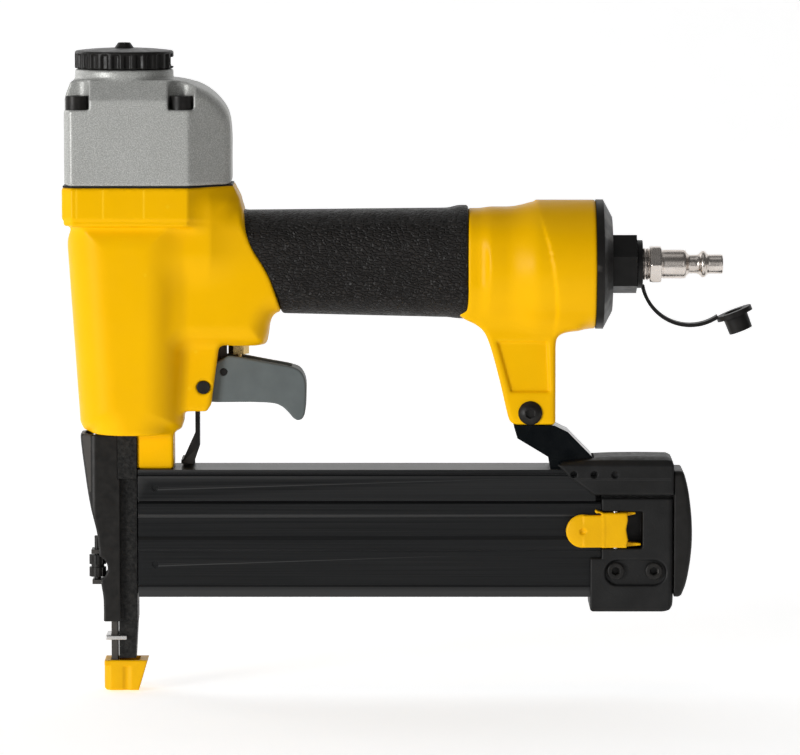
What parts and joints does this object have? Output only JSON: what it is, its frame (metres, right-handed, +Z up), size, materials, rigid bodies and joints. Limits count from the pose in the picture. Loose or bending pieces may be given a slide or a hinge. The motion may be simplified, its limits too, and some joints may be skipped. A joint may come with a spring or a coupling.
{
  "type": "pneumatic nail gun",
  "caption": "Air-powered brad nailer: head, cylinder tower, gripped handle with air plug, trigger, nose with depth wheel, and a sliding magazine.",
  "frame": {"origin": "where the drive line meets the work, at the underside of the nose tip", "axes": "+X back towards the handle and air inlet, +Z up the cylinder axis, Y across the tool"},
  "size_m": [0.2749, 0.052, 0.2598],
  "materials": {
    "head_paint": "fine speckled grey paint",
    "housing_paint": "satin yellow powder coat",
    "grip_rubber": "grained black rubber",
    "seal_rubber": "matt",
    "black_rubber": "moulded satin black",
    "cap_plastic": "moulded black",
    "trigger_plastic": "moulded grey",
    "tail_plastic": "textured black",
    "yellow_plastic": "moulded yellow",
    "black_anodised": "black anodised extrusion",
    "black_oxide": "black oxide",
    "gloss_black": "gloss black paint",
    "bright_steel": "ground",
    "valve_brass": "turned",
    "nickel": "bright nickel plate",
    "cast_aluminium": "machined",
    "end_plate_paint": "black anodised"
  },
  "bodies": {
    "frame": {"head_casting": "head_paint", "head_gasket": "seal_rubber", "head_screws": "black_oxide", "cap_screw": "black_oxide", "main_housing": "housing_paint", "cylinder_sleeve": "bright_steel", "sleeve_rings": "seal_rubber", "bumper": "seal_rubber", "grip_sleeve": "grip_rubber", "end_plate": "end_plate_paint", "end_plate_ring": "seal_rubber", "air_plug": "nickel", "trigger_pin": "black_oxide", "valve_body": "valve_brass", "driver_guide": "black_oxide", "nose_cover": "black_oxide", "nose_screws": "black_oxide", "magazine_rail": "black_anodised", "rail_bracket": "gloss_black", "bracket_cover": "tail_plastic", "leg_screw": "black_oxide", "leg_nut": "black_oxide", "head_valve_spring": "bright_steel", "valve_spring": "bright_steel", "trigger_spring": "bright_steel", "safety_spring": "bright_steel"},
    "exhaust_cap": {"exhaust_cap": "cap_plastic"},
    "head_valve": {"head_valve": "cast_aluminium", "head_valve_seal": "seal_rubber"},
    "piston": {"piston": "cast_aluminium", "piston_ring": "seal_rubber", "driver_blade": "bright_steel"},
    "dust_cap": {"dust_cap": "black_rubber"},
    "trigger": {"trigger": "trigger_plastic", "spring_pins": "black_oxide", "trip_pin": "bright_steel"},
    "trip_lever": {"trip_lever": "bright_steel"},
    "valve_stem": {"valve_stem": "valve_brass"},
    "safety": {"safety_arm": "black_oxide"},
    "depth_wheel": {"depth_wheel": "black_oxide"},
    "contact_foot": {"contact_foot": "black_oxide", "foot_clip": "bright_steel", "no_mar_tip": "yellow_plastic"},
    "magazine": {"magazine_slide": "black_anodised", "tail_cap": "tail_plastic", "tail_screws": "black_oxide", "rear_bumper": "black_rubber", "latch_pin": "bright_steel", "pusher_spring": "bright_steel"},
    "pusher": {"pusher": "bright_steel"},
    "latch": {"latch": "yellow_plastic"}
  },
  "joints": [
    {"name": "exhaust_cap_turn", "type": "hinge", "parent": "frame", "child": "exhaust_cap", "pos_m": [0, 0, 0.2536], "axis": [0, 0, 1], "continuous": true},
    {"name": "head_valve_lift", "type": "slide", "parent": "frame", "child": "head_valve", "axis": [0, 0, 1], "range_m": [0, 0.004], "stiffness_N_per_m": 800, "springref_m": -0.006, "deforming": ["head_valve_spring"]},
    {"name": "piston_stroke", "type": "slide", "parent": "frame", "child": "piston", "axis": [0, 0, -1], "range_m": [0, 0.08]},
    {"name": "dust_cap_swing", "type": "hinge", "parent": "frame", "child": "dust_cap", "pos_m": [0.2058, 0, 0.1712], "axis": [1, 0, 0], "continuous": true},
    {"name": "trigger_pull", "type": "hinge", "parent": "frame", "child": "trigger", "pos_m": [0.0315, 0, 0.1228], "axis": [0, -1, 0], "range_deg": [0, 8], "stiffness_Nm_per_rad": 0.5, "springref_deg": -11.46, "deforming": ["trigger_spring"]},
    {"name": "trip_lever_lift", "type": "hinge", "parent": "trigger", "child": "trip_lever", "pos_m": [0.057, 0, 0.1272], "axis": [0, 1, 0], "range_deg": [0, 22]},
    {"name": "valve_stem_lift", "type": "slide", "parent": "frame", "child": "valve_stem", "axis": [0, 0, 1], "range_m": [0, 0.0021], "deforming": ["valve_spring"]},
    {"name": "safety_press", "type": "slide", "parent": "frame", "child": "safety", "axis": [0, 0, 1], "range_m": [0, 0.005], "stiffness_N_per_m": 400, "springref_m": -0.012, "deforming": ["safety_spring"]},
    {"name": "depth_wheel_turn", "type": "hinge", "parent": "safety", "child": "depth_wheel", "pos_m": [-0.0116, 0, 0.0498], "axis": [0, 0, 1], "range_deg": [-350, 350]},
    {"name": "foot_adjust", "type": "slide", "parent": "safety", "child": "contact_foot", "axis": [0, 0, 1], "range_m": [-0.00077, 0.00077]},
    {"name": "magazine_open", "type": "slide", "parent": "frame", "child": "magazine", "axis": [1, 0, 0], "range_m": [0, 0.12]},
    {"name": "pusher_travel", "type": "slide", "parent": "magazine", "child": "pusher", "axis": [1, 0, 0], "range_m": [0, 0.14], "stiffness_N_per_m": 40, "springref_m": -0.1, "deforming": ["pusher_spring"]},
    {"name": "latch_release", "type": "hinge", "parent": "magazine", "child": "latch", "pos_m": [0.196, -0.012, 0.0657], "axis": [0, 0, 1], "range_deg": [0, 10], "stiffness_Nm_per_rad": 0.2, "springref_deg": -11.46}
  ],
  "couplings": [
    {"joint": "valve_stem_lift", "follows": "trigger_pull", "m_per_rad": 0.0143},
    {"joint": "trip_lever_lift", "follows": "safety_press", "rad_per_m": 73.3},
    {"joint": "depth_wheel_turn", "follows": "foot_adjust", "rad_per_m": 7854}
  ]
}
